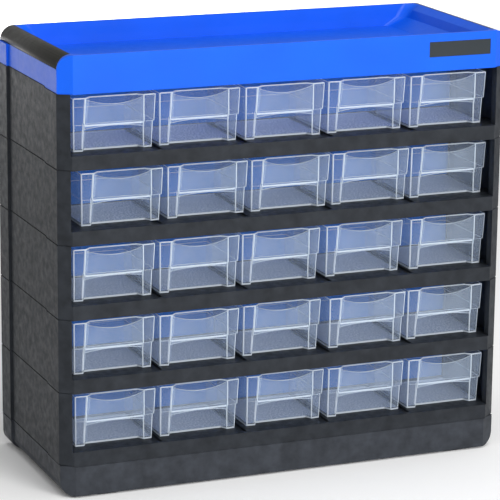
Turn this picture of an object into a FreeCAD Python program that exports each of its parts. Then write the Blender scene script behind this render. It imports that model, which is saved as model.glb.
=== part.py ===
import FreeCAD, Part
import math
import os
import re

import Sketcher
from FreeCAD import Placement, Rotation, Vector

# Small-parts cabinet: five stacked tiers of clear drawers on a plinth, under an open tray.
#
# Millimetres. X runs along the front, Y from the front to the back, Z up. The origin is on the
# ground, midway between the sides and midway between the front and the back.

DIMENSIONS = {
    # whole cabinet
    "width": 385.0,
    "depth": 154.0,
    "skin": 2.5,
    "strip_proud": 2.0,
    "strip_depth": 23.0,
    "lap": 0.5,
    "spare": 2.0,
    "hair": 0.01,
    "step_start": 37.0,
    "step_height": 1.0,
    "line_height": 0.8,
    "line_depth": 0.7,
    # plinth
    "foot_height": 1.5,
    "foot_width": 18.0,
    "foot_depth": 14.0,
    "foot_centre": 154.0,
    "foot_inset": 2.0,
    "foot_taper": 0.8,
    "base_height": 25.0,
    "base_round": 11.0,
    "base_inset": 0.3,
    "base_cut_x": 11.0,
    "base_cut_y": 6.5,
    "boss_width": 24.0,
    "boss_depth": 17.0,
    # tiers
    "tier_pitch": 60.0,
    "tier_cut_x": 10.0,
    "tier_cut_y": 8.0,
    "opening_half": 183.5,
    "pillar_depth": 9.0,
    "rear_pillar": 10.0,
    "rear_half": 186.5,
    "band_height": 11.7,
    "floor_thick": 3.0,
    "rear_band": 2.5,
    "lane_width": 7.0,
    "lane_depth": 1.8,
    "lane_start": 4.0,
    "tab_thick": 1.9,
    "tab_length": 30.0,
    "tab_middle": 62.0,
    "tab_rise": 4.0,
    "tab_root": 6.0,
    "tab_gap": 0.1,
    # panels behind the drawers, and the grooved ribs that hold them
    "panel_front": 90.0,
    "panel_thick": 2.2,
    "panel_half": 188.6,
    "panel_rise": 6.0,
    "panel_gap": 0.1,
    "rib_half": 185.5,
    "rib_thick": 3.0,
    # tray
    "tray_height": 30.6,
    "tray_cut_x": 11.0,
    "tray_cut_y": 7.0,
    "tray_floor": 12.3,
    "ramp_start": 156.0,
    "ramp_end": 171.0,
    "ramp_top": 19.6,
    "lip_start": 174.3,
    "lip_low": 26.2,
    "rim_half": 180.8,
    "bowl_draft": 0.6,
    "floor_round": 5.0,
    "bowl_round": 9.0,
    "rim_round": 11.0,
    # hollow under the tray
    "under_foot": 157.0,
    "under_ramp": 173.2,
    "under_ramp_low": 17.6,
    "under_bend": 177.5,
    "under_bend_low": 23.7,
    "under_lip": 179.8,
    "under_lip_low": 25.4,
    # end caps
    "cap_round": 11.5,
    "cap_thick": 2.4,
    "cap_gap": 0.1,
    "cap_start": 7.6,
    # name plate
    "plate_width": 55.0,
    "plate_height": 12.3,
    "plate_recess": 0.8,
    "plate_thick": 0.7,
    "plate_gap": 0.1,
    "plate_right": 176.5,
    "plate_bottom": 11.7,
    # drawers
    "drawer_height": 43.5,
    "drawer_ledge": 21.5,
    "drawer_length": 67.0,
    "drawer_corner": 2.5,
    "bottom_bevel": 1.2,
    "drawer_gap": 0.1,
    "drawer_thick": 1.5,
    "drawer_half_low": 33.5,
    "drawer_half_mid": 33.9,
    "drawer_step": 0.7,
    "front_step": 1.7,
    "drawer_half_top": 35.1,
    "drawer_lean": 3.0,
    "drawer_back_lean": 1.0,
    "drawer_closed": 17.0,
    "wing_inner": 25.0,
    "wing_inner_top": 23.8,
    "recess_low": 6.0,
    "recess_high": 4.8,
    "slant_low": 2.6,
    "slant_high": 4.4,
    "inset_share": 0.63,
    "grip_half": 25.6,
    "grip_thick": 1.3,
    "grip_set": 0.15,
    "grip_bottom": 17.9,
    "grip_arch": 20.0,
    "grip_top": 42.3,
    "grip_scoop": 37.4,
}

TIERS = 5
COLUMNS = 5
COLUMN_PITCH = "opening_half * 2 / %d" % COLUMNS
TRAY_LEVEL = "foot_height + base_height + tier_pitch * %d" % TIERS
PILLAR_FACET = "tier_cut_y * (1 - (width / 2 - opening_half) / tier_cut_x)"

# How far each drawer stands out of its closed place, and how far it has crept sideways in the
# loose row: one line per tier from the top, one value per drawer from the left.
PULLED_OUT = (
    (3.0, 1.5, 4.0, 2.5, 3.5),
    (2.0, 0.5, 1.0, 0.5, 0.0),
    (4.5, 3.0, 2.0, 1.0, 2.5),
    (3.5, 5.0, 2.0, 5.0, 3.5),
    (4.0, 3.0, 2.0, 3.5, 4.5),
)
CREPT_SIDEWAYS = (
    (2.6, 1.0, -0.5, -1.7, -2.6),
    (9.2, 8.5, 6.4, 4.1, 1.3),
    (1.6, 0.9, -1.5, -0.4, 1.2),
    (1.8, 0.3, 0.1, 1.8, -0.1),
    (2.3, 1.4, 3.8, 2.2, 1.3),
)

doc = FreeCAD.newDocument("SmallPartsCabinet")
sheet = doc.addObject("Spreadsheet::Sheet", "Dims")
sub_parts = []


def fill_sheet():
    for line, (alias, value) in enumerate(DIMENSIONS.items(), start=1):
        sheet.set("A%d" % line, alias)
        sheet.set("B%d" % line, str(value))
        sheet.setAlias("B%d" % line, alias)
    doc.recompute()


def bound(text):
    """An expression of the sheet's aliases, with the sheet's name put before each one."""
    return re.sub(r"[a-z][a-z_]*", lambda match: "Dims." + match.group(0), str(text))


def size(text):
    """The present value of such an expression."""
    value = sheet.evalExpression(bound(text))
    return float(getattr(value, "Value", value))


def new_body(name, x="0", y="0 - depth / 2", z="0"):
    """A sub-part whose own zero is on the cabinet's front plane unless it is placed elsewhere."""
    body = doc.addObject("PartDesign::Body", name)
    body.Label = name
    for axis, text in (("x", x), ("y", y), ("z", z)):
        body.setExpression("Placement.Base." + axis, bound(text))
    sub_parts.append(body)
    return body


def clone(pattern, name, x, y, z):
    """Another moulding of the same shape, as a body of its own that follows the first one."""
    body = new_body(name, x, y, z)
    copied = doc.addObject("PartDesign::FeatureBase", name + "_moulding")
    copied.BaseFeature = pattern
    body.Group = [copied]
    body.Tip = copied
    return body


def plane_of(body, role):
    for feature in body.Origin.OriginFeatures:
        if feature.Role == role:
            return feature
    raise ValueError(role)


def arc_middle(start, end, radius, inward):
    """The middle of the short arc from start to end of an outline that runs anticlockwise."""
    chord = end - start
    half = chord.Length / 2
    rise = radius - math.sqrt(max(radius * radius - half * half, 0.0))
    left = Vector(-chord.y, chord.x, 0).normalize()
    return start + chord * 0.5 + left * (rise if inward else -rise)


def new_sketch(body, name, role, offset):
    sketch = body.newObject("Sketcher::SketchObject", name)
    sketch.AttachmentSupport = [(plane_of(body, role), "")]
    sketch.MapMode = "FlatFace"
    sketch.setExpression("AttachmentOffset.Base.z", bound(offset))
    return sketch


def pin_point(sketch, geometry, point, axis, text):
    """Hold one coordinate of a point at an expression's value."""
    kind = "Distance" + axis
    value = size(text)
    if abs(value) < 1e-9:
        other = -2 if axis == "X" else -1
        sketch.addConstraint(Sketcher.Constraint("PointOnObject", geometry, point, other))
        return
    if value > 0:
        index = sketch.addConstraint(Sketcher.Constraint(kind, -1, 1, geometry, point, value))
        sketch.setExpression("Constraints[%d]" % index, bound(text))
        return
    index = sketch.addConstraint(Sketcher.Constraint(kind, geometry, point, -1, 1, -value))
    sketch.setExpression("Constraints[%d]" % index, bound("0 - (%s)" % text))


def add_outline(sketch, corners):
    """A closed outline, anticlockwise. A corner is (x, y), or (x, y, radius) where an arc leaves it,
    or (x, y, radius, "inward") where that arc is hollow.
    """
    points = [Vector(size(corner[0]), size(corner[1]), 0) for corner in corners]
    first = sketch.GeometryCount
    count = len(corners)
    ends = []
    for number, corner in enumerate(corners):
        start = points[number]
        end = points[(number + 1) % count]
        hollow = "inward" in corner
        if hollow:
            edge = Part.Arc(end, arc_middle(start, end, size(corner[2]), True), start)
        elif len(corner) > 2:
            edge = Part.Arc(start, arc_middle(start, end, size(corner[2]), False), end)
        else:
            edge = Part.LineSegment(start, end)
        sketch.addGeometry(edge, False)
        ends.append((2, 1) if hollow else (1, 2))
    for number in range(count):
        after = (number + 1) % count
        sketch.addConstraint(
            Sketcher.Constraint("Coincident", first + number, ends[number][1], first + after, ends[after][0])
        )
    for number, corner in enumerate(corners):
        pin_point(sketch, first + number, ends[number][0], "X", corner[0])
        pin_point(sketch, first + number, ends[number][0], "Y", corner[1])
        if len(corner) > 2:
            index = sketch.addConstraint(Sketcher.Constraint("Radius", first + number, size(corner[2])))
            sketch.setExpression("Constraints[%d]" % index, bound(corner[2]))


def outline(body, name, role, offset, *loops):
    sketch = new_sketch(body, name, role, offset)
    for corners in loops:
        add_outline(sketch, corners)
    return sketch


def pad(body, name, sketch, length, reverse=False):
    feature = body.newObject("PartDesign::Pad", name)
    feature.Profile = sketch
    feature.setExpression("Length", bound(length))
    feature.Reversed = reverse
    sketch.Visibility = False
    return feature


def pocket(body, name, sketch, length, reverse=False):
    """A cut that must take something away; doc is recomputed so that the volumes compare."""
    doc.recompute()
    before = body.Shape.Volume
    feature = body.newObject("PartDesign::Pocket", name)
    feature.Profile = sketch
    feature.setExpression("Length", bound(length))
    feature.Reversed = reverse
    sketch.Visibility = False
    doc.recompute()
    if body.Shape.Volume > before - 0.1:
        raise RuntimeError("%s %s cuts nothing" % (body.Label, name))
    return feature


def loft(body, name, kind, sketches):
    """A straight-sided solid, or cavity, through the sketches in their order."""
    doc.recompute()
    feature = body.newObject("PartDesign::" + kind, name)
    feature.Profile = sketches[0]
    feature.Sections = sketches[1:]
    feature.Ruled = True
    for sketch in sketches:
        sketch.Visibility = False
    return feature


def rectangle(left, front, right, back):
    return ((left, front), (right, front), (right, back), (left, back))


def rounded_rectangle(half, front, back, corner):
    """A rectangle across the middle plane, with rounded corners."""
    inner = "(%s) - (%s)" % (half, corner)
    near = "%s + %s" % (front, corner)
    far = "%s - (%s)" % (back, corner)
    return (
        ("0 - (%s)" % inner, front),
        (inner, front, corner),
        (half, near),
        (half, far, corner),
        (inner, back),
        ("0 - (%s)" % inner, back, corner),
        ("0 - (%s)" % half, far),
        ("0 - (%s)" % half, near, corner),
    )


def mirrored(corners):
    """The same outline on the other side of the middle plane, still in the same sense."""
    other = []
    for x, y in reversed(corners):
        other.append(("0 - (%s)" % x, y))
    return tuple(other)


def corner_cut(cut_x, cut_y, half):
    """The triangle that a slanted front corner takes off, a little past the outer faces."""
    low = "0 - spare * %s / %s" % (cut_y, cut_x)
    return (
        ("(%s) + spare" % half, low),
        ("(%s) + spare" % half, "%s + spare * %s / %s" % (cut_y, cut_y, cut_x)),
        ("(%s) - %s - spare" % (half, cut_x), low),
    )


def side_wall():
    """Plan of the right-hand wall of a tier: front pillar, thin wall, rear pillar."""
    return (
        ("opening_half", PILLAR_FACET),
        ("width / 2", "tier_cut_y"),
        ("width / 2", "depth - strip_depth"),
        ("width / 2 + strip_proud", "depth - strip_depth"),
        ("width / 2 + strip_proud", "depth"),
        ("rear_half", "depth"),
        ("rear_half", "depth - rear_pillar"),
        ("width / 2 - skin", "depth - rear_pillar"),
        ("width / 2 - skin", "pillar_depth"),
        ("opening_half", "pillar_depth"),
    )


def step_wall():
    """Plan of the rear stretch of a side wall, which stands a step higher than the front."""
    return (
        ("width / 2 - skin", "step_start"),
        ("width / 2", "step_start"),
        ("width / 2", "depth - strip_depth"),
        ("width / 2 + strip_proud", "depth - strip_depth"),
        ("width / 2 + strip_proud", "depth"),
        ("rear_half", "depth"),
        ("rear_half", "depth - rear_pillar"),
        ("width / 2 - skin", "depth - rear_pillar"),
    )


def locating_tabs(body, top):
    """Tabs inside the top edge of each side wall; the piece above drops over them."""
    wall = "width / 2 - skin"
    inner = wall + " - tab_gap - tab_thick"
    near = "tab_middle - tab_length / 2"
    far = "tab_middle + tab_length / 2"
    foot = "(%s) - tab_root" % top
    root = rectangle(inner, near, wall + " + lap", far)
    sketch = outline(body, "TabRootPlan", "XY_Plane", foot, root, mirrored(root))
    pad(body, "TabRoot", sketch, "tab_root - lap")
    tab = rectangle(inner, near, wall + " - tab_gap", far)
    sketch = outline(body, "TabPlan", "XY_Plane", foot, tab, mirrored(tab))
    pad(body, "Tab", sketch, "tab_root + tab_rise")


def step_up(body, top):
    plan = outline(body, "StepPlan", "XY_Plane", top, step_wall(), mirrored(step_wall()))
    pad(body, "Step", plan, "step_height")


def step_under(body):
    """The relief under the side walls that seats on the step of the piece below."""
    plan = outline(body, "SeatPlan", "XY_Plane", "0", step_wall(), mirrored(step_wall()))
    pocket(body, "Seat", plan, "step_height", reverse=True)


def parting_line(body, cut_x, cut_y, start):
    """A shallow groove round the foot of the side walls, which shows as a line under each piece."""
    lean = "(%s) / (%s)" % (cut_y, cut_x)
    front = "(%s) * ((%s) - width / 2 + (%s))" % (lean, start, cut_x)
    inner = "width / 2 - line_depth"
    facet = (
        (start, front + " - spare"),
        ("width / 2 + spare", front + " - spare"),
        ("width / 2 + spare", "step_start"),
        (inner, "step_start"),
        (inner, cut_y + " + line_depth * (1 - %s)" % lean),
        (start, front + " + line_depth"),
    )
    sketch = outline(body, "FrontLinePlan", "XY_Plane", "0", facet, mirrored(facet))
    pocket(body, "FrontLine", sketch, "line_height", reverse=True)
    over = "width / 2 + strip_proud + spare"
    strip = "depth - strip_depth"
    rear = (
        (inner, "step_start - lap"),
        (over, "step_start - lap"),
        (over, "depth + spare"),
        (inner + " + strip_proud", "depth + spare"),
        (inner + " + strip_proud", strip + " + line_depth"),
        (inner, strip + " + line_depth"),
    )
    sketch = outline(body, "RearLinePlan", "XY_Plane", "0", rear, mirrored(rear))
    pocket(body, "RearLine", sketch, "step_height + line_height", reverse=True)


def make_base():
    body = new_body("base_plinth", z="foot_height")
    for name, half, start in (
        ("Shell", "width / 2 - base_inset", "0"),
        ("Strip", "width / 2 + strip_proud - base_inset", "depth - strip_depth"),
    ):
        flat = "%s - base_round" % half
        profile = (
            ("0 - (%s)" % flat, "0"),
            (flat, "0", "base_round"),
            (half, "base_round"),
            (half, "base_height"),
            ("0 - (%s)" % half, "base_height"),
            ("0 - (%s)" % half, "base_round", "base_round"),
        )
        sketch = outline(body, name + "Profile", "XZ_Plane", "0 - (%s)" % start, profile)
        pad(body, name, sketch, "depth - (%s)" % start, reverse=True)
    hollow_half = "width / 2 - base_inset - base_round - skin"
    hollow = rectangle("0 - (%s)" % hollow_half, "skin", hollow_half, "depth - skin")
    sketch = outline(body, "HollowPlan", "XY_Plane", "0", hollow)
    pocket(body, "Hollow", sketch, "base_height - skin", reverse=True)
    cut = corner_cut("base_cut_x", "base_cut_y", "width / 2 - base_inset")
    sketch = outline(body, "CornerPlan", "XY_Plane", "0", cut, mirrored(cut))
    pocket(body, "Corner", sketch, "base_height", reverse=True)
    bosses = []
    for front in ("skin - lap", "depth - skin + lap - boss_depth"):
        boss = rectangle(
            "foot_centre - boss_width / 2", front, "foot_centre + boss_width / 2", front + " + boss_depth"
        )
        bosses += [boss, mirrored(boss)]
    sketch = outline(body, "BossPlan", "XY_Plane", "0", *bosses)
    pad(body, "FootBosses", sketch, "base_height - lap")
    line = rectangle("0 - width / 2", "0 - spare", "width / 2", "line_depth")
    sketch = outline(body, "FrontLinePlan", "XY_Plane", "base_height - line_height", line)
    pocket(body, "FrontLine", sketch, "line_height", reverse=True)
    step_up(body, "base_height")
    locating_tabs(body, "base_height")


def make_feet():
    """Four low pads in one node, each a separate solid."""
    feet = doc.addObject("Part::Feature", "base_feet")
    feet.Label = "base_feet"
    taper = size("foot_taper")
    pads = []
    for side in (-1, 1):
        for front in (size("foot_inset"), size("depth - foot_inset - foot_depth")):
            corner = Vector(side * size("foot_centre") - size("foot_width / 2"), front, 0)
            block = Part.makeBox(size("foot_width"), size("foot_depth"), size("foot_height"), corner)
            lower = [edge for edge in block.Edges if edge.BoundBox.ZMax < 1e-6]
            pads.append(block.makeChamfer(taper, lower))
    feet.Shape = Part.makeCompound(pads)
    feet.Placement = Placement(Vector(0, -size("depth / 2"), 0), Rotation())
    sub_parts.append(feet)


def tier_level(row):
    """Height of a tier's underside; row 0 is the top one."""
    return "foot_height + base_height + tier_pitch * %d" % (TIERS - 1 - row)


def tier_band():
    """Plan of the front band, which runs a little way into both front pillars."""
    band_half = "width / 2 - tier_cut_x"
    near = PILLAR_FACET + " + lap"
    return (
        ("0 - (%s)" % band_half, "0"),
        (band_half, "0"),
        ("opening_half", PILLAR_FACET),
        ("opening_half + lap", near),
        ("opening_half + lap", "pillar_depth - lap"),
        ("0 - opening_half - lap", "pillar_depth - lap"),
        ("0 - opening_half - lap", near),
        ("0 - opening_half", PILLAR_FACET),
    )


def tier_floor():
    """Plan of the floor between the side walls, from the front pillars to the rear face."""
    wide = "width / 2 - skin + lap"
    narrow = "rear_half + lap"
    neck = "depth - rear_pillar + lap"
    return (
        ("0 - (%s)" % wide, "pillar_depth - lap"),
        (wide, "pillar_depth - lap"),
        (wide, neck),
        (narrow, neck),
        (narrow, "depth"),
        ("0 - (%s)" % narrow, "depth"),
        ("0 - (%s)" % narrow, neck),
        ("0 - (%s)" % wide, neck),
    )


def floor_lanes(body):
    """Shallow grooves in the floor between one drawer and the next."""
    lanes = []
    for column in range(COLUMNS - 1):
        middle = "%s + (%s) / 2" % (column_centre(column), COLUMN_PITCH)
        lanes.append(
            rectangle(
                middle + " - lane_width / 2", "lane_start",
                middle + " + lane_width / 2", "panel_front - lane_start",
            )
        )
    sketch = outline(body, "LanePlan", "XY_Plane", "band_height", *lanes)
    pocket(body, "Lanes", sketch, "lane_depth")


def panel_ribs(body):
    """A grooved rib on each side wall, which holds one edge of a panel."""
    near = "panel_front - panel_gap"
    far = "panel_front + panel_thick + panel_gap"
    rib = rectangle("rib_half", near + " - rib_thick", "width / 2 - skin + lap", far + " + rib_thick")
    sketch = outline(body, "RibPlan", "XY_Plane", "band_height - lap", rib, mirrored(rib))
    pad(body, "Ribs", sketch, "tier_pitch - band_height + lap")
    groove = rectangle("rib_half - spare", near, "panel_half + panel_gap", far)
    sketch = outline(body, "GroovePlan", "XY_Plane", "band_height", groove, mirrored(groove))
    pocket(body, "Grooves", sketch, "tier_pitch - band_height", reverse=True)


def make_tier():
    """An open-topped frame: floor, front and rear bands, side walls and panel ribs."""
    body = new_body("tier_1", z=tier_level(0))
    walls = outline(body, "WallPlan", "XY_Plane", "0", side_wall(), mirrored(side_wall()))
    pad(body, "Walls", walls, "tier_pitch")
    pad(body, "Band", outline(body, "BandPlan", "XY_Plane", "0", tier_band()), "band_height")
    hollow = rectangle("0 - opening_half + skin", "skin", "opening_half - skin", "pillar_depth")
    sketch = outline(body, "BandHollowPlan", "XY_Plane", "0", hollow)
    pocket(body, "BandHollow", sketch, "band_height - floor_thick", reverse=True)
    sketch = outline(body, "FloorPlan", "XY_Plane", "band_height - floor_thick", tier_floor())
    pad(body, "Floor", sketch, "floor_thick")
    rear = rectangle("0 - rear_half - lap", "depth - rear_band", "rear_half + lap", "depth")
    pad(body, "RearBand", outline(body, "RearBandPlan", "XY_Plane", "0", rear), "band_height")
    floor_lanes(body)
    panel_ribs(body)
    step_up(body, "tier_pitch")
    step_under(body)
    parting_line(body, "tier_cut_x", "tier_cut_y", "opening_half")
    locating_tabs(body, "tier_pitch")
    return body


def panel_level(row):
    return tier_level(row) + " + band_height + panel_gap"


def make_panel():
    """The sheet that closes a tier behind its drawers."""
    body = new_body("panel_1", z=panel_level(0))
    plan = rectangle("0 - panel_half", "panel_front", "panel_half", "panel_front + panel_thick")
    sketch = outline(body, "PanelPlan", "XY_Plane", "0", plan)
    pad(body, "Panel", sketch, "tier_pitch - band_height + panel_rise")
    return body


def make_tray():
    body = new_body("top_tray", z=TRAY_LEVEL)
    for name, half, start, top in (
        ("Block", "width / 2", "0", "tray_height"),
        ("Strip", "width / 2 + strip_proud", "depth - strip_depth", "tray_height - cap_round"),
    ):
        if name == "Block":
            profile = (
                ("0 - width / 2", "0"),
                ("width / 2", "0"),
                ("width / 2", "tray_height - cap_round", "cap_round"),
                ("width / 2 - cap_round", "tray_height"),
                ("0 - width / 2 + cap_round", "tray_height", "cap_round"),
                ("0 - width / 2", "tray_height - cap_round"),
            )
        else:
            profile = rectangle("0 - (%s)" % half, "0", half, top)
        sketch = outline(body, name + "Profile", "XZ_Plane", "0 - (%s)" % start, profile)
        pad(body, name, sketch, "depth - (%s)" % start, reverse=True)
    cut = corner_cut("tray_cut_x", "tray_cut_y", "width / 2")
    sketch = outline(body, "CornerPlan", "XY_Plane", "0", cut, mirrored(cut))
    pocket(body, "Corner", sketch, "tray_height", reverse=True)

    bowl = []
    for name, height, half, draft, corner in (
        ("FloorPlan", "tray_floor", "ramp_start", "bowl_draft", "floor_round"),
        ("RampPlan", "ramp_top", "ramp_end", "bowl_draft / 2", "bowl_round"),
        ("LipPlan", "lip_low", "lip_start", "bowl_draft / 4", "bowl_round"),
        ("RimPlan", "tray_height + hair", "rim_half", "0", "rim_round"),
    ):
        plan = rounded_rectangle(half, "skin + " + draft, "depth - skin - " + draft, corner)
        bowl.append(outline(body, name, "XY_Plane", height, plan))
    loft(body, "Bowl", "SubtractiveLoft", bowl)

    side = "width / 2 - skin"
    right_under = (
        (side, "0 - spare"),
        (side, "tray_height - cap_round - skin"),
        ("under_lip", "under_lip_low"),
        ("under_bend", "under_bend_low"),
        ("under_ramp", "under_ramp_low"),
        ("under_foot", "tray_floor - skin"),
    )
    left_under = tuple(("0 - (%s)" % x, z) for x, z in reversed(right_under))
    sketch = outline(body, "UnderProfile", "XZ_Plane", "0 - tray_cut_y - skin", right_under + left_under)
    pocket(body, "Under", sketch, "depth - skin * 2 - tray_cut_y")
    front_half = "width / 2 - tray_cut_x - skin"
    front = rectangle("0 - (%s)" % front_half, "0 - spare", front_half, "tray_floor - skin")
    sketch = outline(body, "UnderFrontProfile", "XZ_Plane", "0 - skin", front)
    pocket(body, "UnderFront", sketch, "tray_cut_y + lap")

    sketch = outline(body, "SeatProfile", "XZ_Plane", "0 - cap_start", cap_seat(-1), cap_seat(1))
    pocket(body, "CapSeats", sketch, "depth")
    recess = rectangle(
        "plate_right - plate_width - plate_gap",
        "plate_bottom - plate_gap",
        "plate_right + plate_gap",
        "plate_bottom + plate_height + plate_gap",
    )
    sketch = outline(body, "PlateRecessProfile", "XZ_Plane", "0", recess)
    pocket(body, "PlateRecess", sketch, "plate_recess")
    step_under(body)
    parting_line(body, "tray_cut_x", "tray_cut_y", "width / 2 - tray_cut_x")


def cap_seat(side):
    """Section of the rebate along an outer top edge of the tray, open to the top and the side."""
    low = "tray_height - cap_round - cap_gap"
    inner_round = "cap_round - cap_thick"
    top = "tray_height + spare"
    seat = "tray_height - cap_thick - cap_gap"
    inner = "width / 2 - cap_thick - cap_gap"
    start = "width / 2 - cap_round - cap_gap"
    over = "width / 2 + strip_proud + spare"
    if side > 0:
        return (
            (inner, low),
            (over, low),
            (over, top),
            (start, top),
            (start, seat, inner_round, "inward"),
        )
    return (
        ("0 - (%s)" % inner, low, inner_round, "inward"),
        ("0 - (%s)" % start, seat),
        ("0 - (%s)" % start, top),
        ("0 - (%s)" % over, top),
        ("0 - (%s)" % over, low),
    )


def make_end_cap(name, side):
    """A quarter-round strip along one outer top edge of the tray."""
    body = new_body(name, z=TRAY_LEVEL)
    inner_round = "cap_round - cap_thick"
    if side > 0:
        section = (
            ("width / 2 - cap_thick", "tray_height - cap_round"),
            ("width / 2", "tray_height - cap_round", "cap_round"),
            ("width / 2 - cap_round", "tray_height"),
            ("width / 2 - cap_round", "tray_height - cap_thick", inner_round, "inward"),
        )
    else:
        section = (
            ("0 - width / 2 + cap_thick", "tray_height - cap_round", inner_round, "inward"),
            ("0 - width / 2 + cap_round", "tray_height - cap_thick"),
            ("0 - width / 2 + cap_round", "tray_height", "cap_round"),
            ("0 - width / 2", "tray_height - cap_round"),
        )
    sketch = outline(body, "CapProfile", "XZ_Plane", "0 - cap_start - cap_gap", section)
    pad(body, "Cap", sketch, "depth - cap_start - cap_gap", reverse=True)


def make_front_plate():
    body = new_body("front_plate", z=TRAY_LEVEL)
    face = rectangle(
        "plate_right - plate_width", "plate_bottom", "plate_right", "plate_bottom + plate_height"
    )
    sketch = outline(body, "PlateProfile", "XZ_Plane", "0 - plate_recess", face)
    pad(body, "Plate", sketch, "plate_thick")


def drawer_level(height, proud="0"):
    """Sizes of the drawer's outline at a height, as expressions: all of them change evenly."""
    part_way = "(%s) / drawer_height" % height
    return {
        "front": "0 - drawer_lean * %s - %s" % (part_way, proud),
        "back": "drawer_length + drawer_back_lean * " + part_way,
        "recess": "recess_low + (recess_high - recess_low) * " + part_way,
        "slant": "slant_low + (slant_high - slant_low) * " + part_way,
        "wing": "wing_inner + (wing_inner_top - wing_inner) * " + part_way,
    }


def drawer_outline(height, half, inset, corner, proud):
    """Plan of the drawer: two wings in front of a recessed middle, straight sides and back."""
    level = drawer_level(height, proud)
    corner = "(%s)" % corner
    half = "(%s) - %s" % (half, inset)
    front = "%s + %s" % (level["front"], inset)
    back = "%s - %s" % (level["back"], inset)
    wing = "%s + inset_share * %s" % (level["wing"], inset)
    flat = "%s - (%s)" % (wing, level["slant"])
    recessed = "%s + (%s)" % (front, level["recess"])
    minus_half = "0 - (%s)" % half
    return (
        (minus_half + " + " + corner, front),
        ("0 - (%s)" % wing, front),
        ("0 - (%s)" % flat, recessed),
        (flat, recessed),
        (wing, front),
        ("%s - %s" % (half, corner), front, corner),
        (half, "%s + %s" % (front, corner)),
        (half, "%s - %s" % (back, corner), corner),
        ("%s - %s" % (half, corner), back),
        (minus_half + " + " + corner, back, corner),
        (minus_half, "%s - %s" % (back, corner)),
        (minus_half, "%s + %s" % (front, corner), corner),
    )


def column_centre(column):
    return "(%s) * %s" % (COLUMN_PITCH, column - (COLUMNS - 1) / 2)


def drawer_place(row, column):
    """Where a drawer stands: its name, and expressions for its x, y and z."""
    name = "drawer_r%dc%d" % (row + 1, column + 1)
    x = "%s + %s" % (column_centre(column), CREPT_SIDEWAYS[row][column])
    y = "0 - depth / 2 + drawer_closed - %s" % PULLED_OUT[row][column]
    z = tier_level(row) + " + band_height + drawer_gap"
    return name, x, y, z


def drawer_shell(body):
    """The bin: a lower part, and above a small ledge an upper part that stands out a little."""
    thick = "drawer_thick"
    ledge = "drawer_ledge"
    inner_ledge = "drawer_ledge + drawer_thick"
    low, mid, top = "drawer_half_low", "drawer_half_mid", "drawer_half_top"
    half_ledge = "drawer_half_mid + drawer_step"
    inner_corner = "drawer_corner - drawer_thick"

    def section(name, height, half, inset="0", corner="drawer_corner", proud="0"):
        return outline(body, name, "XY_Plane", height, drawer_outline(height, half, inset, corner, proud))

    def high_section(name, height, half, inset="0", corner="drawer_corner"):
        return section(name, height, half, inset, corner, "front_step")

    loft(body, "LowerShell", "AdditiveLoft", [
        section("LowPlan0", "0", low, "bottom_bevel", "drawer_corner - bottom_bevel"),
        section("LowPlan1", "bottom_bevel", low),
        section("LowPlan2", ledge, mid),
    ])
    loft(body, "UpperShell", "AdditiveLoft", [
        high_section("HighPlan1", ledge, half_ledge),
        high_section("HighPlan2", "drawer_height", top),
    ])
    loft(body, "LowerCavity", "SubtractiveLoft", [
        section("LowCavity1", thick, low, thick, inner_corner),
        section("LowCavity2", inner_ledge, mid, thick, inner_corner),
    ])
    loft(body, "UpperCavity", "SubtractiveLoft", [
        high_section("HighCavity1", inner_ledge, half_ledge, thick, inner_corner),
        high_section("HighCavity2", "drawer_height", top, thick, inner_corner),
    ])


def label_pocket(body):
    """The shelf behind the grip, which closes the label pocket from below."""
    below = drawer_level("drawer_ledge")
    above = drawer_level("drawer_ledge", "front_step")
    front = above["front"] + " + grip_set + grip_thick / 2"
    back = "%s + (%s) + drawer_thick / 3" % (below["front"], below["recess"])
    half = "%s - (%s) + drawer_thick / 3" % (below["wing"], below["slant"])
    shelf = (
        ("0 - (%s)" % above["wing"], front),
        (above["wing"], front),
        (half, back),
        ("0 - (%s)" % half, back),
    )
    sketch = outline(body, "PocketFloorPlan", "XY_Plane", "drawer_ledge - grip_thick", shelf)
    pad(body, "PocketFloor", sketch, "grip_thick")


def finger_grip(body):
    """The plate between the wings: scooped at the top, arched at the bottom, leaning as they do."""
    arch = arc_radius("grip_half", "grip_arch - grip_bottom")
    scoop = arc_radius("grip_half", "grip_top - grip_scoop")
    grip = (
        ("0 - grip_half", "grip_bottom", arch, "inward"),
        ("grip_half", "grip_bottom"),
        ("grip_half", "grip_top", scoop, "inward"),
        ("0 - grip_half", "grip_top"),
    )
    sketch = new_sketch(body, "GripProfile", "XZ_Plane", "front_step - grip_set")
    any_angle = 1.0
    turned = Rotation(Vector(1, 0, 0), any_angle)
    sketch.AttachmentOffset = Placement(sketch.AttachmentOffset.Base, turned)
    lean = "atan((%s) / (%s))" % (bound("drawer_lean"), bound("drawer_height"))
    sketch.setExpression("AttachmentOffset.Rotation.Angle", lean)
    add_outline(sketch, grip)
    pad(body, "Grip", sketch, "grip_thick", reverse=True)


def make_drawer(row, column):
    """A clear bin with a label pocket and a finger grip between the two wings of its front."""
    body = new_body(*drawer_place(row, column))
    drawer_shell(body)
    label_pocket(body)
    finger_grip(body)
    return body


def arc_radius(half_chord, rise):
    return "((%s) ^ 2 + (%s) ^ 2) / (2 * (%s))" % (half_chord, rise, rise)


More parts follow.
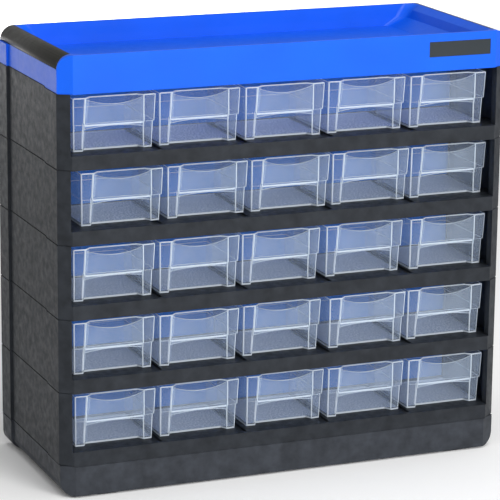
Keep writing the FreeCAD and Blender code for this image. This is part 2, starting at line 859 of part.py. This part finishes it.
def check_and_export():
    doc.recompute()
    for item in doc.Objects:
        if "Invalid" in item.State or "Error" in item.State:
            raise RuntimeError("%s is %s" % (item.Name, item.State))
    os.makedirs("parts", exist_ok=True)
    for item in sub_parts:
        shape = item.Shape
        if shape.isNull() or not shape.isValid():
            raise RuntimeError("%s has no valid shape" % item.Label)
    for item in sub_parts:
        item.Shape.exportStep("parts/%s.step" % item.Label)
        box = item.Shape.BoundBox
        print("%-14s %2d solid %9.0f mm3  x %.1f..%.1f  y %.1f..%.1f  z %.1f..%.1f" % (
            item.Label, len(item.Shape.Solids), item.Shape.Volume,
            box.XMin, box.XMax, box.YMin, box.YMax, box.ZMin, box.ZMax,
        ))


fill_sheet()
make_base()
make_feet()
first_tier = make_tier()
for row in range(1, TIERS):
    clone(first_tier, "tier_%d" % (row + 1), "0", "0 - depth / 2", tier_level(row))
first_panel = make_panel()
for row in range(1, TIERS):
    clone(first_panel, "panel_%d" % (row + 1), "0", "0 - depth / 2", panel_level(row))
make_tray()
make_end_cap("left_end_cap", -1)
make_end_cap("right_end_cap", 1)
make_front_plate()
first_drawer = make_drawer(0, 0)
for row in range(TIERS):
    for column in range(COLUMNS):
        if (row, column) != (0, 0):
            clone(first_drawer, *drawer_place(row, column))
check_and_export()
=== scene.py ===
import math

import bmesh
import bpy
from mathutils import Matrix, Vector


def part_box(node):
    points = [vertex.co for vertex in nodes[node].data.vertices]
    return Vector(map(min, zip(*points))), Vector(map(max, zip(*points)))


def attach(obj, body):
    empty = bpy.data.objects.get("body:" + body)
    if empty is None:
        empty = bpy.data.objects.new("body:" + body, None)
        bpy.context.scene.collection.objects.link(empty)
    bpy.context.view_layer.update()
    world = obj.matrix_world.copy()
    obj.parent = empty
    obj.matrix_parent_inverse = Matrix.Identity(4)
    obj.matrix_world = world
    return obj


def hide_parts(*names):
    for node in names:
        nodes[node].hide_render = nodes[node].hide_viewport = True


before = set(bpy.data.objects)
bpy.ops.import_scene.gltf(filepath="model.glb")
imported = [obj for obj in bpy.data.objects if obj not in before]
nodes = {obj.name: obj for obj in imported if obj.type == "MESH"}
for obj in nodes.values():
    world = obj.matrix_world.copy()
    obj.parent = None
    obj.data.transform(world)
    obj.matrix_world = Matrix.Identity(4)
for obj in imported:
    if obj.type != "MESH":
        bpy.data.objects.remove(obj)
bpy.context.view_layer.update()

MM = 0.001

# ---------------------------------------------------------------- sizes of the drawer, in millimetres
WALL = 1.5
# the ledge runs round the drawer at half height, and everything above it stands out
LEDGE = 21.5
FRONT_STEP = 1.7
SIDE_STEP = 0.7
# how far each wall leans outward on the way up
LEAN = 3.0
BACK_LEAN = 1.0
SIDE_LEAN_LOW = 0.4
SIDE_LEAN_HIGH = 0.5
# the outer sizes are those of the frame's plain drawers, which are all alike
low_corner, high_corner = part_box("drawer_r1c1")
WIDTH, DEPTH, HEIGHT = (round(size / MM, 3) for size in high_corner - low_corner)
LENGTH = DEPTH - LEAN - BACK_LEAN - FRONT_STEP
HALF_TOP = WIDTH / 2
HALF_LEDGE = HALF_TOP - SIDE_LEAN_HIGH
HALF_MID = HALF_LEDGE - SIDE_STEP
HALF_LOW = HALF_MID - SIDE_LEAN_LOW
# the front wall is recessed between two wings, with a slanted stretch beside each of them
WING_INNER = 25.0
WING_INNER_TOP = 23.8
RECESS_LOW = 6.0
RECESS_HIGH = 4.8
SLANT_LOW = 2.6
SLANT_HIGH = 4.4
SLANT_SHARE_OF_INSET = 0.63
# radii of the corners and edges
OUTER_ROUND = 1.9
WING_ROUND = 1.1
SMALLEST_OUTER_ROUND = 0.35
SMALLEST_WING_ROUND = 0.3
BOTTOM_ROUND = 1.5
RIM_ROUND = 0.35
RIM_BAND = 1.0
LEDGE_ROUND = 0.3
LEDGE_EDGE = 0.15
LEDGE_RISE = 0.05
# the finger grip spans the wings: an arch below, a scoop above
GRIP_SET = 0.15
GRIP_LAP = 0.3
GRIP_WALL = 1.3
GRIP_BEVEL = 0.25
GRIP_BOTTOM = 17.9
GRIP_ARCH = 20.0
GRIP_TOP = 42.3
GRIP_SCOOP = 37.4
# the label pocket's floor laps a little into the walls around it
POCKET_LAP_FRONT = 0.1
POCKET_LAP_BACK = 0.3
POCKET_LAP_SIDE = 0.2
POCKET_FRONT_SHARE = 0.2
# steps of the round stretches
CORNER_STEPS = 4
EDGE_STEPS = 3
ARC_STEPS = 20

SHARP_ANGLE = math.radians(50)
MERGE_DISTANCE = 0.005 * MM

# the drawer's materials, in the order of its slots
CLEAR, EDGE_HIGHLIGHT, GRIP, FLOOR = 0, 1, 2, 3
# the corners of the drawer's plan, counted from the left wing's outer one
LEFT_WING_INNER = 1
FRONT_CORNERS = (0, 1, 4, 5)
CORNERS_BEFORE_SLANTS = (1, 3)

# ---------------------------------------------------------------- sizes of the studio, in metres
FLOOR_HALF = 6.0
LIGHT_TARGET = (0, 0, 0.18)
# name, place, what it shines at, size and power
LIGHTS = (
    ("key", (0.7, -2.7, 1.5), LIGHT_TARGET, 1.5, 54),
    ("fill", (-0.5, -2.9, 0.8), LIGHT_TARGET, 1.3, 28),
    ("top", (0.2, -0.3, 2.4), LIGHT_TARGET, 2.0, 20),
    ("backdrop", (0.0, 2.2, 1.6), (-0.6, 5.0, 0), 1.6, 160),
)
WORLD_STRENGTH = 0.42
CAMERA_PLACE = (-0.8151, -1.9742, 0.7088)
CAMERA_YAW = 22.387
CAMERA_PITCH = 14.155
CAMERA_ROLL = 0.568
CAMERA_LENS = 190.64
SENSOR_WIDTH = 36.0
CAMERA_REACH = 50.0
# light passes the walls of several drawers one behind another
WALLS_SEEN_THROUGH = 48


# ---------------------------------------------------------------- materials
def new_material(name):
    material = bpy.data.materials.new(name)
    material.use_nodes = True
    tree = material.node_tree
    shader = tree.nodes["Principled BSDF"]
    return material, tree, shader


def object_coordinates(tree):
    return tree.nodes.new("ShaderNodeTexCoord").outputs["Object"]


def noise(tree, coordinates, scale, detail, roughness=0.5):
    node = tree.nodes.new("ShaderNodeTexNoise")
    node.inputs["Scale"].default_value = scale
    node.inputs["Detail"].default_value = detail
    node.inputs["Roughness"].default_value = roughness
    tree.links.new(coordinates, node.inputs["Vector"])
    return node.outputs["Fac"]


def spread(tree, value, low, high, from_low=0.3, from_high=0.7):
    """The value, stretched from the usual range of a noise to low..high."""
    node = tree.nodes.new("ShaderNodeMapRange")
    node.inputs["From Min"].default_value = from_low
    node.inputs["From Max"].default_value = from_high
    node.inputs["To Min"].default_value = low
    node.inputs["To Max"].default_value = high
    tree.links.new(value, node.inputs["Value"])
    return node.outputs["Result"]


def blend_colours(tree, value, first, second):
    node = tree.nodes.new("ShaderNodeMix")
    node.data_type = "RGBA"
    node.inputs["A"].default_value = (*first, 1)
    node.inputs["B"].default_value = (*second, 1)
    tree.links.new(value, node.inputs["Factor"])
    return node.outputs["Result"]


def multiplied(tree, first, second):
    node = tree.nodes.new("ShaderNodeMath")
    node.operation = "MULTIPLY"
    tree.links.new(first, node.inputs[0])
    tree.links.new(second, node.inputs[1])
    return node.outputs["Value"]


def bump(tree, value, strength, distance):
    node = tree.nodes.new("ShaderNodeBump")
    node.inputs["Strength"].default_value = strength
    node.inputs["Distance"].default_value = distance
    tree.links.new(value, node.inputs["Height"])
    return node.outputs["Normal"]


def moulded_plastic(name, colour, contrast, roughness, grain, grain_depth, gloss, clouds=14.0, scuffing=0.12):
    """Opaque injection-moulded plastic: slow shade changes, faint scuffs and a fine grain."""
    material, tree, shader = new_material(name)
    where = object_coordinates(tree)
    cloud = spread(tree, noise(tree, where, clouds, detail=4.0), 0, 1)
    darker = tuple(part * (1 - contrast) for part in colour)
    lighter = tuple(part * (1 + contrast) for part in colour)
    tree.links.new(blend_colours(tree, cloud, darker, lighter), shader.inputs["Base Color"])
    scuffs = noise(tree, where, 160.0, detail=6.0, roughness=0.65)
    rubbed = spread(tree, scuffs, roughness * (1 - scuffing), roughness * (1 + scuffing))
    tree.links.new(rubbed, shader.inputs["Roughness"])
    fine = noise(tree, where, grain, detail=2.0)
    tree.links.new(bump(tree, fine, 0.3, grain_depth), shader.inputs["Normal"])
    shader.inputs["IOR"].default_value = 1.49
    shader.inputs["Specular IOR Level"].default_value = gloss
    return material


def clear_plastic(name, colour, roughness, facing_alpha, grazing_alpha, speckle=0.0):
    """Clear moulding: more opaque towards grazing angles, with faint flow marks and dust."""
    material, tree, shader = new_material(name)
    where = object_coordinates(tree)
    flow = noise(tree, where, 30.0, detail=2.0)
    dust = noise(tree, where, 700.0, detail=3.0)
    tint = tuple(part * 0.95 for part in colour)
    tree.links.new(blend_colours(tree, spread(tree, flow, 0, 1), tint, colour), shader.inputs["Base Color"])
    tree.links.new(spread(tree, dust, roughness * 0.8, roughness * 1.3), shader.inputs["Roughness"])
    tree.links.new(bump(tree, flow, 0.04, 0.4 * MM), shader.inputs["Normal"])
    weight = tree.nodes.new("ShaderNodeLayerWeight")
    weight.inputs["Blend"].default_value = 0.3
    alpha = spread(tree, weight.outputs["Facing"], facing_alpha, grazing_alpha, from_low=0.0, from_high=1.0)
    patches = spread(tree, dust, 1 - speckle, 1 + speckle)
    tree.links.new(multiplied(tree, alpha, patches), shader.inputs["Alpha"])
    shader.inputs["IOR"].default_value = 1.55
    return material


BLACK = moulded_plastic(
    "black_plastic", (0.021, 0.024, 0.029), contrast=0.26, roughness=0.45,
    grain=1500.0, grain_depth=0.05 * MM, gloss=0.13, clouds=110.0, scuffing=0.30)
# a lighter, glossier copy of the black plastic for the plinth: painted bounce light from the floor
BLACK_PLINTH_LIT = moulded_plastic(
    "black_plinth_lit", (0.032, 0.036, 0.044), contrast=0.26, roughness=0.45,
    grain=1500.0, grain_depth=0.05 * MM, gloss=0.16, clouds=110.0, scuffing=0.30)
BLACK_TRIM = moulded_plastic(
    "black_trim", (0.016, 0.016, 0.013), contrast=0.15, roughness=0.36,
    grain=1700.0, grain_depth=0.04 * MM, gloss=0.22)
RUBBER = moulded_plastic(
    "foot_rubber", (0.012, 0.012, 0.012), contrast=0.15, roughness=0.75,
    grain=1100.0, grain_depth=0.10 * MM, gloss=0.30)
BLUE = moulded_plastic(
    "blue_plastic", (0.001, 0.098, 0.700), contrast=0.08, roughness=0.40,
    grain=1900.0, grain_depth=0.03 * MM, gloss=0.24)
BLUE_PANEL = moulded_plastic(
    "blue_panel", (0.004, 0.145, 0.620), contrast=0.06, roughness=0.50,
    grain=1500.0, grain_depth=0.04 * MM, gloss=0.12)
PLATE = moulded_plastic(
    "dark_plate", (0.020, 0.026, 0.031), contrast=0.12, roughness=0.32,
    grain=2200.0, grain_depth=0.03 * MM, gloss=0.30)
CLEAR_WALL = clear_plastic(
    "clear_plastic", (0.62, 0.75, 0.95), roughness=0.10, facing_alpha=0.020, grazing_alpha=0.46)
# a whiter, more opaque copy of the clear plastic: painted highlight on rims, ledges, grip edges and front
# corners
CLEAR_EDGE_HIGHLIGHT = clear_plastic(
    "clear_plastic_edge_highlight", (0.82, 0.91, 1.00), roughness=0.14, facing_alpha=0.55, grazing_alpha=0.80)
# a little more milky than the walls seen face-on; on the slanted stretches beside the wings it is a painted
# milky sheen
CLEAR_GRIP = clear_plastic(
    "clear_plastic_grip", (0.65, 0.79, 0.98), roughness=0.12, facing_alpha=0.045, grazing_alpha=0.42)
# whiter and more opaque than the walls: partly the frosted floor, partly a painted reflection of the light
# from above
CLEAR_FLOOR = clear_plastic(
    "clear_plastic_floor", (0.66, 0.77, 1.00), roughness=0.25, facing_alpha=0.55, grazing_alpha=0.80,
    speckle=0.15)


# ---------------------------------------------------------------- drawers
def rounded(corners, radii):
    """The points of an outline with its corners rounded, the same number for every corner."""
    points = []
    count = len(corners)
    for number in range(count):
        here = Vector(corners[number])
        before = Vector(corners[number - 1]) - here
        after = Vector(corners[(number + 1) % count]) - here
        before.normalize()
        after.normalize()
        half_angle = before.angle(after) / 2
        reach = radii[number] / math.tan(half_angle)
        centre = here + (before + after).normalized() * (radii[number] / math.sin(half_angle))
        first = here + before * reach - centre
        last = here + after * reach - centre
        for step in range(CORNER_STEPS + 1):
            points.append(centre + first.slerp(last, step / CORNER_STEPS))
    return points


def between(low, high, height):
    """A size that changes evenly from the drawer's bottom to its rim."""
    return low + (high - low) * height / HEIGHT


def plan(height, half, inset=0.0, proud=0.0):
    """Rounded plan of the drawer at a height: its front moved out by proud, then inset all round."""
    front = -between(0, LEAN, height) - proud + inset
    back = LENGTH + between(0, BACK_LEAN, height) - inset
    recess = between(RECESS_LOW, RECESS_HIGH, height)
    slant = between(SLANT_LOW, SLANT_HIGH, height)
    side = half - inset
    wing = between(WING_INNER, WING_INNER_TOP, height) + SLANT_SHARE_OF_INSET * inset
    corners = [
        (-side, front), (-wing, front), (-wing + slant, front + recess),
        (wing - slant, front + recess), (wing, front), (side, front),
        (side, back), (-side, back),
    ]
    convex = max(OUTER_ROUND - inset, SMALLEST_OUTER_ROUND)
    tight = max(WING_ROUND - inset, SMALLEST_WING_ROUND)
    hollow = WING_ROUND + inset
    radii = [convex, tight, hollow, hollow, tight, convex, convex, convex]
    return rounded(corners, radii)


def outside_rings():
    """Height, plan and whether the face below gets the painted edge highlight, from the underside to the rim.
    """
    rings = []
    for step in range(EDGE_STEPS + 1):
        turn = math.radians(90 * step / EDGE_STEPS)
        inset = BOTTOM_ROUND * (1 - math.sin(turn))
        height = BOTTOM_ROUND * (1 - math.cos(turn))
        rings.append((height, plan(height, HALF_LOW, inset), step > 0))
    under_ledge = plan(LEDGE, HALF_LEDGE - LEDGE_ROUND, 0, FRONT_STEP - LEDGE_EDGE)
    rings.append((LEDGE - LEDGE_ROUND, plan(LEDGE, HALF_MID), False))
    rings.append((LEDGE, plan(LEDGE, HALF_MID, 0, LEDGE_EDGE), False))
    rings.append((LEDGE + LEDGE_RISE, under_ledge, False))
    rings.append((LEDGE + LEDGE_ROUND + LEDGE_RISE, plan(LEDGE, HALF_LEDGE, 0, FRONT_STEP), True))
    rings.append((HEIGHT - RIM_BAND, plan(HEIGHT, HALF_TOP, 0, FRONT_STEP), False))
    rings.append((HEIGHT - RIM_ROUND, plan(HEIGHT, HALF_TOP, 0, FRONT_STEP), True))
    rings.append((HEIGHT, plan(HEIGHT, HALF_TOP, RIM_ROUND, FRONT_STEP), True))
    return rings


def inside_rings():
    """The same from the rim's inner edge down to the drawer's floor."""
    rings = []
    ledge = LEDGE + WALL
    over_ledge = plan(ledge, HALF_LEDGE - LEDGE_ROUND, WALL, FRONT_STEP - LEDGE_EDGE)
    rings.append((HEIGHT, plan(HEIGHT, HALF_TOP, WALL - RIM_ROUND, FRONT_STEP), True))
    rings.append((HEIGHT - RIM_ROUND, plan(HEIGHT, HALF_TOP, WALL, FRONT_STEP), False))
    rings.append((ledge + LEDGE_ROUND, plan(ledge, HALF_LEDGE, WALL, FRONT_STEP), False))
    rings.append((ledge, over_ledge, False))
    rings.append((ledge - LEDGE_RISE, plan(ledge, HALF_MID + LEDGE_ROUND, WALL), False))
    rings.append((ledge - LEDGE_ROUND, plan(ledge, HALF_MID, WALL), False))
    for step in range(EDGE_STEPS + 1):
        turn = math.radians(90 * step / EDGE_STEPS)
        inset = WALL + BOTTOM_ROUND * (1 - math.cos(turn))
        height = WALL + BOTTOM_ROUND * (1 - math.sin(turn))
        rings.append((height, plan(height, HALF_LOW, inset), False))
    return rings


def wall_material(column, outside):
    """Painted light on each stretch of the walls: front corners get a painted highlight, slants a painted
    milky sheen.
    """
    corner, place = divmod(column, CORNER_STEPS + 1)
    if place == CORNER_STEPS:
        # the slanted stretches take the grip's material: a painted milky sheen
        return GRIP if corner in CORNERS_BEFORE_SLANTS else CLEAR
    if corner == LEFT_WING_INNER or (outside and corner in FRONT_CORNERS):
        return EDGE_HIGHLIGHT
    return CLEAR


def add_shell(mesh):
    outside = outside_rings()
    rings = outside + inside_rings()
    loops = []
    for height, points, _ in rings:
        loops.append([mesh.verts.new((point.x * MM, point.y * MM, height * MM)) for point in points])
    count = len(loops[0])
    for row in range(len(loops) - 1):
        lower, upper = loops[row], loops[row + 1]
        is_outside = row < len(outside) - 1
        for column in range(count):
            after = (column + 1) % count
            face = mesh.faces.new((lower[column], lower[after], upper[after], upper[column]))
            # faces of rings marked True get the painted edge highlight
            face.material_index = EDGE_HIGHLIGHT if rings[row + 1][2] else wall_material(column, is_outside)
    mesh.faces.new(list(reversed(loops[0]))).material_index = CLEAR
    # the inner floor gets the frosted material with its painted reflection
    mesh.faces.new(loops[-1]).material_index = FLOOR


def arc_points(half, ends, middle):
    """Points of an arc from -half to half, at height ends there and middle in between."""
    rise = middle - ends
    radius = (half * half + rise * rise) / (2 * abs(rise))
    reach = math.asin(half / radius)
    points = []
    for step in range(ARC_STEPS + 1):
        turn = reach * (2 * step / ARC_STEPS - 1)
        drop = radius * (math.cos(turn) - math.cos(reach))
        points.append((radius * math.sin(turn), ends + math.copysign(drop, rise)))
    return points


def drawn_in(value, centre, amount):
    """The value moved towards the centre by the amount, and no further than to it."""
    away = value - centre
    return value - math.copysign(min(amount, abs(away)), away)


def grip_point(x, depth, z):
    """A point of the grip, which narrows upward with the wings and leans with the front."""
    width_here = between(WING_INNER, WING_INNER_TOP, z) + GRIP_LAP
    x = x * width_here / (WING_INNER + GRIP_LAP)
    y = -FRONT_STEP - between(0, LEAN, z) + GRIP_SET + depth
    return (x * MM, y * MM, z * MM)


def add_grip(mesh):
    """The finger grip: flush with the wings, scooped at the top and arched at the bottom."""
    half = WING_INNER + GRIP_LAP
    lower = arc_points(half, GRIP_BOTTOM, GRIP_ARCH)
    upper = arc_points(half, GRIP_TOP, GRIP_SCOOP)
    outline = lower + list(reversed(upper))
    count = len(outline)
    centre_x = sum(x for x, z in outline) / count
    centre_z = sum(z for x, z in outline) / count
    levels = [(0.0, GRIP_BEVEL), (GRIP_BEVEL, 0.0), (GRIP_WALL - GRIP_BEVEL, 0.0), (GRIP_WALL, GRIP_BEVEL)]
    loops = []
    for depth, amount in levels:
        loop = []
        for x, z in outline:
            point = grip_point(drawn_in(x, centre_x, amount), depth, drawn_in(z, centre_z, amount))
            loop.append(mesh.verts.new(point))
        loops.append(loop)
    for first, second in zip(loops, loops[1:]):
        for number in range(count):
            after = (number + 1) % count
            face = mesh.faces.new((first[number], second[number], second[after], first[after]))
            # the grip's bevelled sides get the painted edge highlight
            face.material_index = EDGE_HIGHLIGHT
    mesh.faces.new(loops[0]).material_index = GRIP
    mesh.faces.new(list(reversed(loops[-1]))).material_index = GRIP


def add_pocket_floor(mesh):
    """The narrow shelf between the grip and the recessed wall, which closes the label pocket."""
    lean = between(0, LEAN, LEDGE)
    slant = between(SLANT_LOW, SLANT_HIGH, LEDGE)
    wing = between(WING_INNER, WING_INNER_TOP, LEDGE)
    front = -FRONT_STEP - lean + GRIP_SET + GRIP_WALL - POCKET_LAP_FRONT
    back = -lean + between(RECESS_LOW, RECESS_HIGH, LEDGE) + POCKET_LAP_BACK
    wide = wing - slant * POCKET_FRONT_SHARE
    narrow = wing - slant + POCKET_LAP_SIDE
    outline = [(-wide, front), (wide, front), (narrow, back), (-narrow, back)]
    loops = []
    for height in (LEDGE - GRIP_WALL, LEDGE):
        loops.append([mesh.verts.new((x * MM, y * MM, height * MM)) for x, y in outline])
    for number in range(len(outline)):
        after = (number + 1) % len(outline)
        face = mesh.faces.new((loops[0][number], loops[0][after], loops[1][after], loops[1][number]))
        # the shelf's front face gets the painted edge highlight
        face.material_index = EDGE_HIGHLIGHT if number == 0 else CLEAR
    mesh.faces.new(list(reversed(loops[0]))).material_index = CLEAR
    mesh.faces.new(loops[1]).material_index = GRIP


def drawer_mesh():
    mesh = bmesh.new()
    add_shell(mesh)
    add_grip(mesh)
    add_pocket_floor(mesh)
    bmesh.ops.dissolve_degenerate(mesh, dist=MERGE_DISTANCE, edges=mesh.edges)
    bmesh.ops.recalc_face_normals(mesh, faces=mesh.faces)
    for face in mesh.faces:
        face.smooth = True
    for edge in mesh.edges:
        if len(edge.link_faces) == 2 and edge.calc_face_angle() > SHARP_ANGLE:
            edge.smooth = False
    data = bpy.data.meshes.new("drawer")
    mesh.to_mesh(data)
    mesh.free()
    for material in (CLEAR_WALL, CLEAR_EDGE_HIGHLIGHT, CLEAR_GRIP, CLEAR_FLOOR):
        data.materials.append(material)
    return data


def make_drawers():
    """One clear drawer in the place of each of the frame's plain ones."""
    shared = drawer_mesh()
    for name in sorted(nodes):
        if not name.startswith("drawer_"):
            continue
        low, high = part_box(name)
        drawer = bpy.data.objects.new(name + "_clear", shared)
        bpy.context.scene.collection.objects.link(drawer)
        drawer.location = ((low.x + high.x) / 2, low.y + (LEAN + FRONT_STEP) * MM, low.z)
        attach(drawer, name)
        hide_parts(name)


# ---------------------------------------------------------------- carried-over pieces
def dress(name, material, bevel):
    """Gives a CAD node its material and the small rounded edges of a moulding."""
    node = nodes[name]
    node.data.materials.clear()
    node.data.materials.append(material)
    weld = node.modifiers.new("Weld", "WELD")
    weld.merge_threshold = 0.02 * MM
    rounding = node.modifiers.new("Bevel", "BEVEL")
    rounding.width = bevel * MM
    rounding.segments = 2
    rounding.limit_method = "ANGLE"
    rounding.angle_limit = math.radians(35)
    rounding.harden_normals = True


def dress_cabinet():
    # the plinth's lighter black is painted bounce light
    dress("base_plinth", BLACK_PLINTH_LIT, 0.5)
    dress("base_feet", RUBBER, 0.2)
    for name in sorted(nodes):
        if name.startswith("tier_"):
            dress(name, BLACK, 0.35)
        if name.startswith("panel_"):
            dress(name, BLUE_PANEL, 0.2)
    dress("top_tray", BLUE, 0.4)
    dress("left_end_cap", BLACK_TRIM, 0.3)
    dress("right_end_cap", BLACK_TRIM, 0.3)
    dress("front_plate", PLATE, 0.15)


# ---------------------------------------------------------------- stage, light and camera
def floor_material():
    material, tree, shader = new_material("pale_floor")
    paper = spread(tree, noise(tree, object_coordinates(tree), 3.0, detail=2.0), 0, 1)
    colour = blend_colours(tree, paper, (0.94, 0.94, 0.94), (0.97, 0.97, 0.97))
    tree.links.new(colour, shader.inputs["Base Color"])
    shader.inputs["Roughness"].default_value = 0.9
    shader.inputs["Specular IOR Level"].default_value = 0.1
    return material


def make_stage():
    mesh = bmesh.new()
    for x, y in ((-1, -1), (1, -1), (1, 1), (-1, 1)):
        mesh.verts.new((x * FLOOR_HALF, y * FLOOR_HALF, 0))
    mesh.faces.new(mesh.verts)
    data = bpy.data.meshes.new("floor")
    mesh.to_mesh(data)
    mesh.free()
    data.materials.append(floor_material())
    floor = bpy.data.objects.new("floor", data)
    bpy.context.scene.collection.objects.link(floor)


def area_light(name, place, target, size, power):
    data = bpy.data.lights.new(name, "AREA")
    data.shape = "DISK"
    data.size = size
    data.energy = power
    lamp = bpy.data.objects.new(name, data)
    bpy.context.scene.collection.objects.link(lamp)
    lamp.location = place
    lamp.rotation_euler = (Vector(target) - Vector(place)).to_track_quat("-Z", "Y").to_euler()


def make_lights():
    world = bpy.data.worlds.new("studio")
    bpy.context.scene.world = world
    world.use_nodes = True
    background = world.node_tree.nodes["Background"]
    background.inputs["Color"].default_value = (1.0, 1.0, 1.0, 1)
    background.inputs["Strength"].default_value = WORLD_STRENGTH
    for name, place, target, size, power in LIGHTS:
        area_light(name, place, target, size, power)


def make_camera():
    data = bpy.data.cameras.new("camera")
    data.sensor_width = SENSOR_WIDTH
    data.lens = CAMERA_LENS
    data.clip_end = CAMERA_REACH
    camera = bpy.data.objects.new("camera", data)
    bpy.context.scene.collection.objects.link(camera)
    yaw = math.radians(CAMERA_YAW)
    pitch = math.radians(CAMERA_PITCH)
    roll = math.radians(CAMERA_ROLL)
    forward = Vector((math.sin(yaw) * math.cos(pitch), math.cos(yaw) * math.cos(pitch), -math.sin(pitch)))
    level = Vector((math.cos(yaw), -math.sin(yaw), 0))
    upright = level.cross(forward)
    right = level * math.cos(roll) + upright * math.sin(roll)
    up = right.cross(forward)
    turned = Matrix((right, up, -forward)).transposed()
    camera.matrix_world = Matrix.Translation(CAMERA_PLACE) @ turned.to_4x4()
    bpy.context.scene.camera = camera


bpy.context.scene.view_settings.view_transform = "Standard"
bpy.context.scene.cycles.transparent_max_bounces = WALLS_SEEN_THROUGH

make_drawers()
dress_cabinet()
make_stage()
make_lights()
make_camera()
